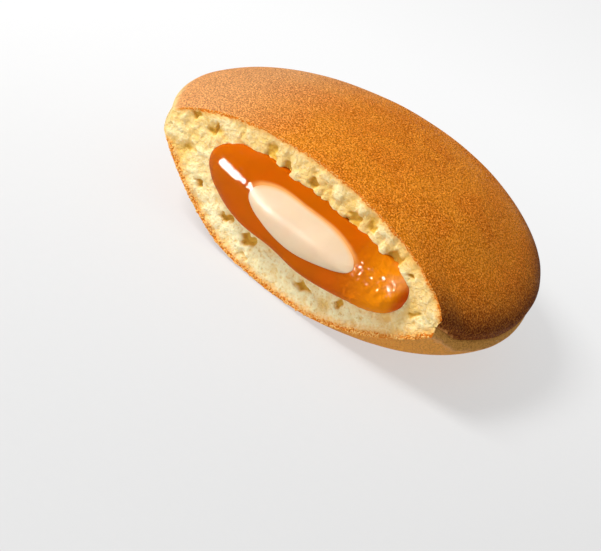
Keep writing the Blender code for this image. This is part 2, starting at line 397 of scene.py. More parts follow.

# %% [markdown]
# ## The torn face of the crumb
#
# A knife doesn't leave soft cake flat. The crumb tears round its air cells: broad soft lumps,
# upright cells side by side above the caramel, and holes where large bubbles were. The face is
# the back of a block, a dense grid pushed in by a relief, and the block is then taken away from
# both pancakes. The large holes are listed one by one, as they show; the rest is noise.

# %% The relief
# Centre, half sizes and depth of each hole in mm, measured from the disc's axis and the seam.
PORES = (
    (-31.7, 4.9, 0.9, 0.8, 1.6),
    (-26.4, 5.0, 0.75, 1.3, 1.7),
    (-12.5, 8.2, 1.6, 1.9, 1.2),
    (-7.4, 7.6, 0.9, 1.3, 1.9),
    (-1.1, 8.6, 1.1, 1.0, 2.0),
    (10.3, 7.4, 1.3, 1.2, 1.7),
    (14.8, 8.4, 0.9, 0.9, 1.2),
    (21.9, 5.9, 1.7, 1.1, 2.2),
    (26.9, 5.0, 0.8, 0.7, 1.2),
    (-24.1, -7.6, 1.1, 0.8, 1.9),
    (-15.0, -10.2, 1.9, 0.9, 2.0),
    (-7.9, -11.6, 2.0, 1.4, 2.6),
    (-7.5, -15.2, 1.2, 0.7, 0.9),
    (7.4, -12.3, 1.7, 0.9, 2.0),
    (16.6, -10.4, 1.0, 0.8, 1.6),
    (22.2, -9.4, 0.9, 0.7, 1.0),
    (31.5, -1.5, 0.7, 0.6, 0.9),
    (-29.5, -2.0, 1.5, 0.8, 1.0),
)
RELIEF_STEP = 0.25 * MM
LUMP_LENGTHS = (3.4 * MM, 1.6 * MM, 0.8 * MM)
LUMP_DEPTHS = (0.42 * MM, 0.27 * MM, 0.14 * MM)
FLUTE_LENGTH = 2.3 * MM
FLUTE_STRETCH = 3.0
FLUTE_DEPTH = 0.38 * MM
FLUTE_TURN = 19.0 * MM
PIT_SPACING = 2.7 * MM
PIT_SHARE = 0.30
PIT_RADIUS = 0.20
PIT_DEPTH = 0.30 * MM
GROOVE_SPACING = 3.1 * MM
GROOVE_STRETCH = 2.3
GROOVE_WIDTH = 0.20
GROOVE_DEPTH = 0.42 * MM
RELIEF_LIMIT = 1.55 * MM
CRUST_BAND = 2.2 * MM
PORE_SHARE = 0.68
PORE_BEND = 1.3
PORE_LENGTH = 1.6 * MM


def small_pits(x, z):
    """1 in the middle of the small air cells that the cut opened, 0 between them."""
    depth = []
    for a, b in zip((x / PIT_SPACING).tolist(), (z / PIT_SPACING).tolist()):
        distances, centres = noise.voronoi((a, b, 4.0))
        chosen = noise.cell(centres[0] * 7.0) < PIT_SHARE
        depth.append(math.exp(-((distances[0] / PIT_RADIUS) ** 2)) if chosen else 0.0)
    return np.array(depth)


def grooves(x, z):
    """1 in the upright grooves between neighbouring lumps of crumb, 0 on the lumps."""
    depth = []
    across, up = x / GROOVE_SPACING, z / (GROOVE_SPACING * GROOVE_STRETCH)
    for a, b in zip(across.tolist(), up.tolist()):
        distances = noise.voronoi((a, b, 9.0))[0]
        depth.append(math.exp(-(((distances[1] - distances[0]) / GROOVE_WIDTH) ** 2)))
    return np.array(depth)


def crumb_relief(x, height):
    """How deep the torn crumb lies behind the cut, at places along it and off the seam."""
    flat = np.stack([x, height, 0 * x], axis=1)
    lumps = sum(depth * noise_at(flat, length, length / MM)
                for length, depth in zip(LUMP_LENGTHS, LUMP_DEPTHS))
    above = smooth_step((height + 1.0 * MM) / (4.0 * MM))
    side = smooth_step((np.abs(x) - FLUTE_TURN) / (6.0 * MM))
    tall = np.stack([x, height / FLUTE_STRETCH, 0 * x], axis=1)
    wide = np.stack([x / FLUTE_STRETCH, height, 0 * x], axis=1)
    flutes = FLUTE_DEPTH * (noise_at(tall, FLUTE_LENGTH, 13.0) * above * (1.0 - side)
                            + noise_at(wide, FLUTE_LENGTH, 17.0) * side)
    radius = np.hypot(x, CUT_DISTANCE)
    skin_top = dome(radius, CROWN_HEIGHT, CROWN_POWER) - height
    skin_bottom = height + belly(radius)
    calm = smooth_step(np.minimum(skin_top, skin_bottom) / CRUST_BAND)
    depth = lumps * (0.45 + 0.55 * calm) + flutes * calm
    here = smooth_step(0.5 + noise_at(flat, 5 * MM, 61.0)) * (0.35 + 0.65 * above)
    depth += GROOVE_DEPTH * grooves(x, height) * here * calm
    depth += PIT_DEPTH * small_pits(x, height) * calm
    bent_x = x / MM + PORE_BEND * noise_at(flat, PORE_LENGTH, 51.0)
    bent_z = height / MM + PORE_BEND * noise_at(flat, PORE_LENGTH, 57.0)
    for centre_x, centre_z, half_x, half_z, deep in PORES:
        off = ((bent_x - centre_x) / half_x) ** 2 + ((bent_z - centre_z) / half_z) ** 2
        depth += PORE_SHARE * deep * MM * np.exp(-(off ** 2.4))
    return np.minimum(depth, RELIEF_LIMIT)


def crumb_block():
    """The block that takes the slice away, its back the torn face."""
    width = 2 * RIM_RADIUS + 2 * MM
    margin = 4 * MM
    height = SEAM_HEIGHT + CROWN_HEIGHT + 2 * margin
    columns, rows = round(width / RELIEF_STEP), round(height / RELIEF_STEP)
    mesh = bmesh_shape("crumb_block", bmesh.ops.create_grid, x_segments=columns, y_segments=rows,
                       size=0.5)
    place = points_of(mesh)
    x = place[:, 0] * width
    z = (place[:, 1] + 0.5) * height - margin
    y = crumb_relief(x, z - SEAM_HEIGHT) - CUT_DISTANCE
    move_points(mesh, np.stack([x, y, z], axis=1))
    builder = bmesh.new()
    builder.from_mesh(mesh)
    front = bmesh.ops.extrude_face_region(builder, geom=builder.faces[:])["geom"]
    for vertex in (item for item in front if isinstance(item, bmesh.types.BMVert)):
        vertex.co.y = -RIM_RADIUS - margin
    bmesh.ops.recalc_face_normals(builder, faces=builder.faces[:])
    builder.to_mesh(mesh)
    builder.free()
    return new_object("crumb_block", mesh)


block = crumb_block()
print("torn face:", len(block.data.vertices), "points")

# %% [markdown]
# ## The drop of caramel and the core of cream
#
# On the cut the filling swells out in a long drop. Its top edge tucks in under the crumb, which
# hangs over it in scallops, and its lower edge bulges over the crumb and sags a little. The right
# end is wrinkled. The cream is a smooth oval in the drop, a little prouder than the caramel.
#
# Both fronts are height maps over a squared oval: rings of points from the middle out to the
# edge, each pushed out of the cut by one function. The same function carries the cream, so it
# follows the drop. Behind the cut, a turned pool holds what isn't seen.

# %% The outlines and fronts of the filling
# Points of the drop's outline in mm along the cut and off the seam, before it sags.
CARAMEL_OUTLINE = (
    (-24.5, 0.1), (-23.7, 2.4), (-21.6, 4.5), (-19.1, 5.9), (-15.7, 6.8), (-13.0, 7.3),
    (-10.0, 7.3), (-7.3, 7.2), (-4.7, 7.0), (-1.6, 7.4), (1.0, 7.0), (4.0, 7.2), (6.9, 6.6),
    (9.6, 6.2), (12.3, 6.2), (14.5, 6.5), (17.4, 6.1), (20.4, 5.3), (23.6, 4.9), (26.0, 4.0),
    (27.6, 2.6), (28.4, 0.8), (28.5, -1.0), (28.1, -2.8), (26.9, -4.2), (24.3, -5.6), (20.2, -6.5),
    (15.0, -7.5), (10.4, -8.2), (6.0, -8.3), (1.6, -7.7), (-3.2, -7.3), (-7.4, -7.5),
    (-11.9, -7.7), (-16.2, -6.8), (-20.1, -4.8), (-23.3, -2.3),
)
CARAMEL_CENTRE = (2.3 * MM, -0.6 * MM)
CARAMEL_HALF = (26.2 * MM, 7.6 * MM)
CARAMEL_BULGE = 4.3 * MM
CARAMEL_SAG = 1.2 * MM
CARAMEL_SINK = 0.8 * MM
CARAMEL_POOL = (7.9 * MM, 10.4 * MM)
RIDGE_HEIGHT = -0.5 * MM
RIDGE_TURN = 8.0 * MM
RIDGE_RISE = 0.0075 / MM
FALL_BEND = 3.9 * MM
MIDDLE_FALL = 0.090 / MM
END_FALL = 0.070 / MM
# The same for the cream's outline.
CREAM_OUTLINE = (
    (-10.9, 2.6), (-9.6, 3.7), (-7.6, 4.4), (-5.3, 4.8), (-2.5, 4.9), (0.8, 4.8), (3.3, 4.8),
    (5.9, 4.8), (8.7, 4.7), (11.3, 4.4), (13.7, 3.8), (15.5, 3.1), (16.6, 2.2), (16.9, 1.2),
    (16.1, 0.1), (14.4, -0.9), (12.0, -1.8), (9.7, -2.5), (7.4, -3.1), (4.9, -3.6), (2.1, -3.8),
    (-0.6, -3.6), (-3.4, -3.0), (-5.7, -2.3), (-8.0, -1.5), (-9.7, -0.5), (-10.8, 0.6),
    (-11.1, 1.7),
)
CREAM_CENTRE = (2.9 * MM, 0.8 * MM)
CREAM_HALF = (13.8 * MM, 4.0 * MM)
CREAM_STEP = 0.75 * MM
CREAM_SINK = 0.05 * MM
CREAM_POOL = (4.8 * MM, 5.2 * MM)
POOL_POWER = 3.0
POOL_INSET = 1.3 * MM
FRONT_ROOT = 6.0 * MM
FRONT_STEPS = 360
FRONT_RINGS = 60
POOL_STEPS = 160
POOL_RINGS = 28
WRINKLE_START = 11.0 * MM
WRINKLE_DEPTH = 0.32 * MM
WRINKLE_LENGTH = 1.8 * MM
CLEARANCE = 0.02 * MM
REACH_STEPS = 720
REACH_BLUR = 14


def reach_of(outline, centre, half):
    """A function that says how far an outline reaches in a direction, smooth over the turn."""
    across, up = ((np.array(outline) * MM - centre) / half).T
    angles = np.arange(REACH_STEPS) * math.tau / REACH_STEPS
    reach = np.interp(angles, np.arctan2(up, across) % math.tau, np.hypot(across, up),
                      period=math.tau)
    weights = np.hanning(2 * REACH_BLUR + 1)
    around = np.concatenate([reach[-REACH_BLUR:], reach, reach[:REACH_BLUR]])
    smooth = np.convolve(around, weights / weights.sum(), mode="valid")
    return lambda angle: np.interp(angle % math.tau, angles, smooth, period=math.tau)


caramel_reach = reach_of(CARAMEL_OUTLINE, CARAMEL_CENTRE, CARAMEL_HALF)
cream_reach = reach_of(CREAM_OUTLINE, CREAM_CENTRE, CREAM_HALF)


def outline_share(x, z, centre, half, reach):
    """0 in the middle of an outline and 1 on it."""
    across, up = (x - centre[0]) / half[0], (z - centre[1]) / half[1]
    return np.hypot(across, up) / reach(np.arctan2(up, across))


def fall_back(x, z, at_end):
    """How far the drop's upper half leans back to the crumb: curved at first, then straight."""
    ridge = RIDGE_HEIGHT + RIDGE_RISE * np.maximum(-x - RIDGE_TURN, 0.0) ** 2
    above = np.maximum(z - ridge, 0.0)
    curved = np.minimum(above, FALL_BEND)
    rate = MIDDLE_FALL + (END_FALL - MIDDLE_FALL) * at_end
    return rate * (curved ** 2 + 2.0 * FALL_BEND * (above - curved))


def caramel_front(x, z):
    """How far the caramel stands out of the cut, at places along it and off the seam."""
    across = (x - CARAMEL_CENTRE[0]) / CARAMEL_HALF[0]
    share = np.minimum(outline_share(x, z, CARAMEL_CENTRE, CARAMEL_HALF, caramel_reach), 1.0)
    at_end = smooth_step((-across - 0.20) / 0.5)
    plump = (1.0 - share ** 4.5) ** (1.0 / 2.3)
    steep = (1.0 - share ** 8) ** (1.0 / 2.4)
    swell = steep * (1.0 - at_end) + plump * at_end
    flat = np.stack([x, z, 0 * x], axis=1)
    creases = np.abs(noise_at(flat, WRINKLE_LENGTH, 31.0)) + 0.7 * noise_at(flat, 3.5 * MM, 37.0)
    wrinkled = smooth_step((x - WRINKLE_START) / (8 * MM)) * steep
    wave = 0.22 * MM * noise_at(flat, 8 * MM, 41.0) * swell
    stand = (CARAMEL_BULGE + CARAMEL_SINK - fall_back(x, z, at_end)) * swell - CARAMEL_SINK
    return stand - WRINKLE_DEPTH * creases * wrinkled + wave


def cream_front(x, z):
    share = np.minimum(outline_share(x, z, CREAM_CENTRE, CREAM_HALF, cream_reach), 1.0)
    upper = smooth_step(0.5 + (z - CREAM_CENTRE[1]) / (1.6 * CREAM_HALF[1]))
    power, root = 3.0 - 1.0 * upper, 2.0 - 1.0 * upper
    dome_share = (1.0 - share ** power) ** (1.0 / root)
    return caramel_front(x, z) + (CREAM_STEP + CREAM_SINK) * dome_share - CREAM_SINK


def front_piece(name, centre, half, reach, front, grown=0.0):
    """A closed piece with its front pushed out of the cut and a flat back behind it."""
    angles = np.arange(FRONT_STEPS) * math.tau / FRONT_STEPS
    rim_x = np.cos(angles) * reach(angles) * (half[0] + grown)
    rim_z = np.sin(angles) * reach(angles) * (half[1] + grown)
    shares = np.sin(np.linspace(0, math.pi / 2, FRONT_RINGS + 1))[1:]
    x = np.concatenate([[centre[0]], (centre[0] + shares[:, None] * rim_x).ravel()])
    z = np.concatenate([[centre[1]], (centre[1] + shares[:, None] * rim_z).ravel()])
    out = front(x, z)
    z = z - CARAMEL_SAG * np.clip(out / CARAMEL_BULGE, 0.0, 1.0)
    place = np.stack([x, -CUT_DISTANCE - out, z + SEAM_HEIGHT], axis=1)
    back = place[-FRONT_STEPS:].copy()
    back[:, 1] = FRONT_ROOT - CUT_DISTANCE
    middle = [[centre[0], FRONT_ROOT - CUT_DISTANCE, centre[1] + SEAM_HEIGHT]]
    place = np.concatenate([place, back, middle])
    faces = []
    last = 1 + FRONT_RINGS * FRONT_STEPS
    for j in range(FRONT_STEPS):
        k = (j + 1) % FRONT_STEPS
        faces.append((0, 1 + j, 1 + k))
        for ring in range(FRONT_RINGS):
            low, high = 1 + ring * FRONT_STEPS, 1 + (ring + 1) * FRONT_STEPS
            faces.append((low + j, high + j, high + k, low + k))
        faces.append((last + k, last + j, len(place) - 1))
    mesh = bpy.data.meshes.new(name)
    mesh.from_pydata(place.tolist(), [], faces)
    return bake(new_object(name, mesh))


def pool(name, centre, half, thickness, grown=0.0):
    """The turned pool behind a front, one thickness above the seam and one below."""
    reach = math.hypot(CUT_DISTANCE, half[0] - POOL_INSET) + grown
    shares = np.sin(np.linspace(0, math.pi / 2, POOL_RINGS + 1))
    rises = np.sqrt(np.maximum(1.0 - shares ** POOL_POWER, 0.0))
    up = [(reach * s, (thickness[0] + grown) * r) for s, r in zip(shares, rises)]
    down = [(reach * s, -(thickness[1] + grown) * r) for s, r in zip(shares, rises)]
    outline = [(r, SEAM_HEIGHT + z) for r, z in down + up[-2::-1]]
    obj = turned(name, outline, POOL_STEPS)
    place = points_of(obj.data) + [centre[0], 0.0, 0.0]
    move_points(obj.data, place)
    return obj


def halfspace_behind_cut():
    """A plain block over all that lies behind the cut."""
    mesh = bmesh_shape("behind_cut", bmesh.ops.create_cube, size=4 * RIM_RADIUS)
    near_side = CARAMEL_SINK + MM - CUT_DISTANCE
    move_points(mesh, points_of(mesh) + [0.0, 2 * RIM_RADIUS + near_side, 0.0])
    return new_object("behind_cut", mesh)


def filling_piece(name, centre, half, reach, front, thickness, grown=0.0):
    piece = front_piece(name, centre, half, reach, front, grown)
    hidden = pool(name + "_pool", centre, half, thickness, grown)
    behind = halfspace_behind_cut()
    combine(hidden, "INTERSECT", behind)
    combine(piece, "UNION", hidden)
    discard(hidden, behind)
    return piece


CARAMEL_SHAPE = (CARAMEL_CENTRE, CARAMEL_HALF, caramel_reach, caramel_front, CARAMEL_POOL)
CREAM_SHAPE = (CREAM_CENTRE, CREAM_HALF, cream_reach, cream_front, CREAM_POOL)
caramel = filling_piece("caramel_pool", *CARAMEL_SHAPE)
caramel_space = filling_piece("caramel_space", *CARAMEL_SHAPE, grown=CLEARANCE)
cream = filling_piece("cream_core", *CREAM_SHAPE)
cream_space = filling_piece("cream_space", *CREAM_SHAPE, grown=CLEARANCE)
print("caramel", len(caramel.data.polygons), "faces, cream", len(cream.data.polygons), "faces")

# %% [markdown]
# ## The cut
#
# The real cake was filled first and sliced then. Here the order is the same: room for the filling
# is taken out of the pancakes, then the slice is taken away with the torn block, and the caramel
# gives up the room that the cream needs. Each room is a hair wider than what goes into it, so no
# two surfaces share one place.

# %% Cut the slice out of the pancakes and the filling's place
for pancake in (top, bottom):
    combine(pancake, "DIFFERENCE", caramel_space)
    combine(pancake, "DIFFERENCE", block)
combine(caramel, "DIFFERENCE", cream_space)
discard(block, caramel_space, cream_space)
for piece in (top, bottom, caramel, cream):
    triangles = sum(len(face.vertices) - 2 for face in piece.data.polygons)
    print(piece.name, triangles, "triangles")

# %% [markdown]
# ## What the materials need to know
#
# A material can't tell crust from crumb by itself, so the mesh keeps a few numbers for it: which
# faces are torn crumb, how deep a point of the crumb lies below the skin, and how far a point of
# the crust lies beyond the pale side that the griddle never touched. Crust and crumb are one mesh
# with two materials, because on the real cake the crust isn't a separate layer.

# %% Marks on the pancakes
TORN_TOLERANCE = 0.12 * MM
PALE_LIMITS = {"left": 3.2, "right_above": -0.8, "right_below": 2.2}
SKIN_THICKNESS = 0.5
SIDE_BAND = 1.5 * MM
FRINGE = {1.0: 0.75, -1.0: 1.15}
EDGE_SHARE = {1.0: 1.0, -1.0: 0.65}
RIM_REACH = 1.2 * MM


def skin_depth(place, height, way):
    """How far inside the outer surface points lie in mm, measured straight to it."""
    radius, rise = unsettled(place)
    step = 0.05 * MM
    slope = (height(radius + step) - height(radius - step)) / (2 * step)
    return (height(radius) - rise * way) / np.sqrt(1.0 + slope ** 2) / MM


def right_side(place):
    """1 on the right of the cake, 0 on its left."""
    angle = np.arctan2(place[:, 1], place[:, 0])
    return np.exp(-(((angle + 0.20) / 1.0) ** 4))


def bake_depth(place, way):
    """How far in mm a point of the crust lies beyond the pale side, which stayed unbaked."""
    rise = unsettled(place)[1] * way / MM
    right = right_side(place)
    limit = PALE_LIMITS["right_above"] if way > 0 else PALE_LIMITS["right_below"]
    return rise - (PALE_LIMITS["left"] * (1.0 - right) + limit * right)


def is_crumb(mesh, place, skin):
    """1 for the faces of the torn cut and of the inside, 0 for the crust's."""
    torn = crumb_relief(place[:, 0], place[:, 2] - SEAM_HEIGHT) - CUT_DISTANCE
    radius = unsettled(place)[0]
    cavity = (skin > SKIN_THICKNESS) & (radius < RIM_RADIUS - SIDE_BAND)
    inside = (np.abs(place[:, 1] - torn) < TORN_TOLERANCE) | cavity
    corners, starts = (np.empty(len(rows), dtype=np.int32) for rows in (mesh.loops, mesh.polygons))
    mesh.loops.foreach_get("vertex_index", corners)
    mesh.polygons.foreach_get("loop_start", starts)
    return np.minimum.reduceat(inside[corners].astype(np.int32), starts)


def mark_pancake(obj, height, way):
    mesh = obj.data
    place = points_of(mesh)
    skin = skin_depth(place, height, way)
    crumb_faces = is_crumb(mesh, place, skin)
    baked = bake_depth(place, way)
    on_cut = (place[:, 1] < -CUT_DISTANCE + RIM_REACH).astype(float)
    store(mesh, "skin", skin * EDGE_SHARE[way])
    store(mesh, "bake", baked)
    store(mesh, "right_side", right_side(place))
    store(mesh, "fringe", on_cut * (baked > 0.3) * smooth_step((FRINGE[way] - skin) / 0.6))
    torn = mesh.attributes.new("torn", "BOOLEAN", "FACE")
    torn.data.foreach_set("value", crumb_faces.astype(bool))
    mesh.materials.clear()
    mesh.materials.append(None)
    mesh.materials.append(None)
    mesh.polygons.foreach_set("material_index", crumb_faces)
    mesh.shade_smooth()
    mesh.set_sharp_from_angle(angle=math.radians(50))
    print(obj.name, int(crumb_faces.sum()), "crumb faces of", len(crumb_faces))


mark_pancake(top, lambda r: dome(r, CROWN_HEIGHT, CROWN_POWER), 1.0)
mark_pancake(bottom, belly, -1.0)

# %% [markdown]
# ## What the filling needs to know
#
# Where the cream meets the caramel, the two flow into each other a little along the upper edge.
# Both meshes keep how near a point is to the cream's outline, as a share that is 1 on it, and
# whether the point is in the upper half. Both finishes read the same two numbers, so their colours
# meet.

# %% Marks on the filling
def mark_filling(obj):
    mesh = obj.data
    place = points_of(mesh)
    x, z = place[:, 0], place[:, 2] - SEAM_HEIGHT
    out = np.clip((-CUT_DISTANCE - place[:, 1]) / CARAMEL_BULGE, 0.0, 1.0)
    z = z + CARAMEL_SAG * out
    share = outline_share(x, z, CREAM_CENTRE, CREAM_HALF, cream_reach)
    store(mesh, "cream_share", share)
    store(mesh, "upper", smooth_step((z - CREAM_CENTRE[1]) / (0.9 * CREAM_HALF[1])))
    mesh.shade_smooth()
    mesh.set_sharp_from_angle(angle=math.radians(60))
    print(obj.name, int((share < 1.0).sum()), "points within the cream's outline")


mark_filling(caramel)
mark_filling(cream)

# %% [markdown]
# ## Small tools for the finishes
#
# A finish is mostly colours laid over each other by masks. These helpers keep that readable: one
# turns a screen colour into the linear colour that light is counted in, one mixes two colours, one
# lays several over each other, and one makes a soft step between two values. The last wires a
# finish into its shader. What is the same all over a surface is set on the shader itself.

# %% Material helpers
def srgb(red, green, blue):
    """A colour read off a screen, as the linear colour a shader needs."""
    def linear(value):
        value /= 255
        return value / 12.92 if value <= 0.04045 else ((value + 0.055) / 1.055) ** 2.4
    return (linear(red), linear(green), linear(blue), 1.0)


def new_material(name):
    material = bpy.data.materials.new(name)
    material.use_nodes = True
    print("finish:", name)
    return material, material.node_tree


def mark(tree, name):
    """A number that the mesh keeps."""
    return add(tree, "ShaderNodeAttribute", attribute_name=name, out="Fac")


def place_in(tree):
    return add(tree, "ShaderNodeTexCoord", out="Object")


def along(tree, axis):
    """How far a point lies along an axis, in metres."""
    return add(tree, "ShaderNodeSeparateXYZ", {0: place_in(tree)}, out=axis)


def band(tree, value, low, high, kind="SMOOTHSTEP"):
    """0 below low, 1 above high and smooth between. high may be the smaller one."""
    return add(tree, "ShaderNodeMapRange", {"Value": value, "From Min": low, "From Max": high},
               interpolation_type=kind)


def blend(tree, amount, first, second, mode="MIX"):
    """Mixes two colours by an amount from 0 to 1. Three numbers are a screen colour."""
    first, second = (srgb(*colour) if isinstance(colour, tuple) and len(colour) == 3 else colour
                     for colour in (first, second))
    return add(tree, "ShaderNodeMix", {0: amount, 6: first, 7: second}, out=2,
               data_type="RGBA", blend_type=mode)


def layers(tree, colour, *coats):
    """Lays coats over a colour. Each is a mask, its strength and the coat's own colour."""
    for mask, strength, coat in coats:
        colour = blend(tree, times(tree, mask, strength), colour, coat)
    return colour


def scaled_noise(tree, place, size, detail=2.0, roughness=0.5, distortion=0.0):
    """Noise whose bumps are about size metres across."""
    return add(tree, "ShaderNodeTexNoise",
               {"Vector": place, "Scale": calc(tree, "DIVIDE", 1.0, size), "Detail": detail,
                "Roughness": roughness, "Distortion": distortion})


def fill_shader(tree, colour, bump, rough, specular, glow=()):
    """Wires a finish. bump is a height and its depth in metres, rough a least value, a mask and
    what that adds. glow is the share of light that goes under the surface, how far that goes for
    red, green and blue, and a scale."""
    shader = tree.nodes["Principled BSDF"].inputs
    relief = add(tree, "ShaderNodeBump", {"Height": bump[0], "Distance": bump[1], "Strength": 1.0})
    least, mask, more = rough
    for label, value in (("Base Color", colour), ("Normal", relief),
                         ("Roughness", calc(tree, "ADD", least, times(tree, mask, more)))):
        tree.links.new(value, shader[label])
    shader["Specular IOR Level"].default_value = specular
    for label, value in zip(("Weight", "Radius", "Scale"), glow):
        shader["Subsurface " + label].default_value = value

# %% [markdown]
# ## Surface effects as node groups
#
# Three effects come back in several finishes, so each is a shader group with a size of its own.
# One is the fine pebbly grain of a baked crust; it also says where the crust gets painted glints,
# which are painted highlights, and where its low places get painted shade. One is the open sponge
# of crumb, whose pits get painted shade. One is soft patches, for the slow changes of colour that
# baking leaves.

# %% The three groups
def group_with(name, *outputs):
    """A shader group with one size to set, and outputs that change over the surface."""
    tree, given = new_tree(name, "Shader", {"Size": "Float"}, dict.fromkeys(outputs, "Float"))
    return tree, given["Size"], place_in(tree)


def cells_of(tree, place, scale):
    return add(tree, "ShaderNodeTexVoronoi", {"Vector": place, "Scale": scale},
               feature="SMOOTH_F1", out="Distance")


def baked_grain():
    tree, size, place = group_with("Baked Grain", "Height", "Glint", "Pits")
    worms = scaled_noise(tree, place, size, 3.0, 0.65, 0.5)
    pebbles = cells_of(tree, place, calc(tree, "DIVIDE", 1.1, size))
    speck = scaled_noise(tree, place, times(tree, size, 0.8), 1.0)
    # Glint says where the crust gets painted highlights, Pits where the grain lies low and gets
    # painted shade.
    return close_tree(tree, Height=calc(tree, "SUBTRACT", worms, times(tree, pebbles, 0.45)),
                      Glint=band(tree, speck, 0.42, 0.68, "LINEAR"),
                      Pits=band(tree, worms, 0.54, 0.30, "LINEAR"))


def open_sponge():
    tree, size, place = group_with("Open Sponge", "Height", "Pit")
    bend = add(tree, "ShaderNodeTexNoise",
               {"Vector": place, "Scale": calc(tree, "DIVIDE", 0.7, size)}, out="Color")
    shift = add(tree, "ShaderNodeVectorMath", {0: bend, 1: (0.7 * MM,) * 3}, operation="MULTIPLY")
    bent = add(tree, "ShaderNodeVectorMath", {0: shift, 1: place}, operation="ADD")
    pit = band(tree, cells_of(tree, bent, calc(tree, "DIVIDE", 1.0, size)), 0.42, 0.05)
    fluff = scaled_noise(tree, place, times(tree, size, 0.9), 3.0, 0.65)
    return close_tree(tree, Height=calc(tree, "SUBTRACT", fluff, times(tree, pit, 0.3)), Pit=pit)


def soft_patches():
    tree, size, place = group_with("Soft Patches", "Mask")
    patches = scaled_noise(tree, place, size, 2.0, 0.55, 0.4)
    return close_tree(tree, Mask=band(tree, patches, 0.32, 0.68))


BAKED_GRAIN, OPEN_SPONGE, SOFT_PATCHES = baked_grain(), open_sponge(), soft_patches()
print("shader groups:", BAKED_GRAIN.name, OPEN_SPONGE.name, SOFT_PATCHES.name)


def effect(tree, group, size):
    """Places a group in a material at this size, and gives its outputs."""
    return add(tree, "ShaderNodeGroup", {"Size": size}, out=None, node_tree=group).outputs


def patchy(tree, size):
    return effect(tree, SOFT_PATCHES, size)["Mask"]

# %% [markdown]
# ## The crust
#
# The griddle browns a pancake evenly over its face and leaves the side pale. A dark ring near the
# rim, on the right side only, is partly the browner rim and partly painted shade where the dome
# turns away from the lamp. Up close the crust is fine grain: painted shade where the grain lies
# low, and light specks on it that are painted highlights, painted glints.
# The number kept on the mesh, how far a point lies beyond the pale side, drives the colours. Noise
# makes their edges ragged. A rosy coat on the left is partly lighter baking and partly a painted
# sheen, and the pale side is painted darker to the right, a painted shade.

# %% The crust's finish
def crust_material(name, golden, brown, dark, rosy_bake_and_sheen, tan, tan_share):
    material, tree = new_material(name)
    right, across, patches = mark(tree, "right_side"), along(tree, "X"), patchy(tree, 11 * MM)
    grain = effect(tree, BAKED_GRAIN, 0.44 * MM)
    ragged = calc(tree, "SUBTRACT", patchy(tree, 1.6 * MM), 0.5)
    baked = calc(tree, "ADD", mark(tree, "bake"), times(tree, ragged, 0.7))
    # Painted shade: the dark ring is kept to the right side, where the dome turns away from the
    # lamp; it also stands for the browner rim.
    ring = times(tree, band(tree, baked, 0.2, 1.2), band(tree, baked, 10.5, 3.0))
    ring = times(tree, ring, band(tree, across, 4 * MM, 36 * MM))
    crust = layers(tree, golden, (patches, 0.75, brown),
                   # Partly lighter baking, partly a painted sheen: the rosy coat on the left.
                   (band(tree, across, -8 * MM, -34 * MM), 0.85, rosy_bake_and_sheen),
                   (ring, 0.9, dark), (right, tan_share, tan))
    # Painted shade: where the grain lies low, its colour is pulled half way to the dark colour.
    crust = layers(tree, crust, (grain["Pits"], 0.95, blend(tree, 0.5, crust, dark)))
    # Painted highlights: the grain's light specks are painted glints in a pale straw colour, weaker
    # in the dark ring.
    straw = blend(tree, band(tree, across, -30 * MM, 4 * MM), (255, 194, 112), (255, 172, 74))
    lighter = blend(tree, 0.42, crust, straw)
    lighter = blend(tree, 1.0, lighter, (1.6, 1.6, 1.6, 1), "MULTIPLY")
    sheen = times(tree, grain["Glint"], calc(tree, "SUBTRACT", 0.95, times(tree, ring, 0.45)))
    crust = blend(tree, sheen, crust, lighter)
    # Painted shade: the pale side is painted darker and browner to the right, and its low grain
    # there darker still.
    pale = layers(tree, blend(tree, right, (252, 220, 148), (230, 166, 82)),
                  (times(tree, grain["Pits"], right), 0.8, (172, 108, 44)))
    glow = blend(tree, band(tree, baked, -0.7, 0.9), pale, (246, 180, 116))
    crust = blend(tree, band(tree, baked, 0.0, 1.3), glow, crust)
    fill_shader(tree, crust, (grain["Height"], 1.0 * MM), (0.45, patches, 0.12), 0.01)
    return material


top_crust = crust_material("browned_crust", (226, 130, 18), (212, 106, 6), (90, 32, 18),
                           (216, 150, 100), (204, 112, 12), 0.0)
bottom_crust = crust_material("golden_crust", (218, 130, 32), (200, 102, 14), (196, 122, 52),
                              (218, 142, 78), (250, 176, 82), 0.85)

# %% [markdown]
# ## The crumb
#
# Crumb is a pale foam that lets some light through, so it glows softly where light falls on it.
# The material reads how far behind the cut plane a point lies: it paints a golden shade into deep
# places and a painted highlight onto what stands proud of the cut. The fine sponge gets the same,
# painted shade where it lies low and in its pits, painted light where it stands high. The lower
# part of the face is painted lighter, against the shadow under the drop of caramel. Next to the
# skin the crumb is browned in a thin uneven line.

# %% The crumb's finish
soft_crumb, tree = new_material("soft_crumb")
clouds, sponge = patchy(tree, 4.2 * MM), effect(tree, OPEN_SPONGE, 0.7 * MM)
behind = calc(tree, "ADD", along(tree, "Y"), CUT_DISTANCE)
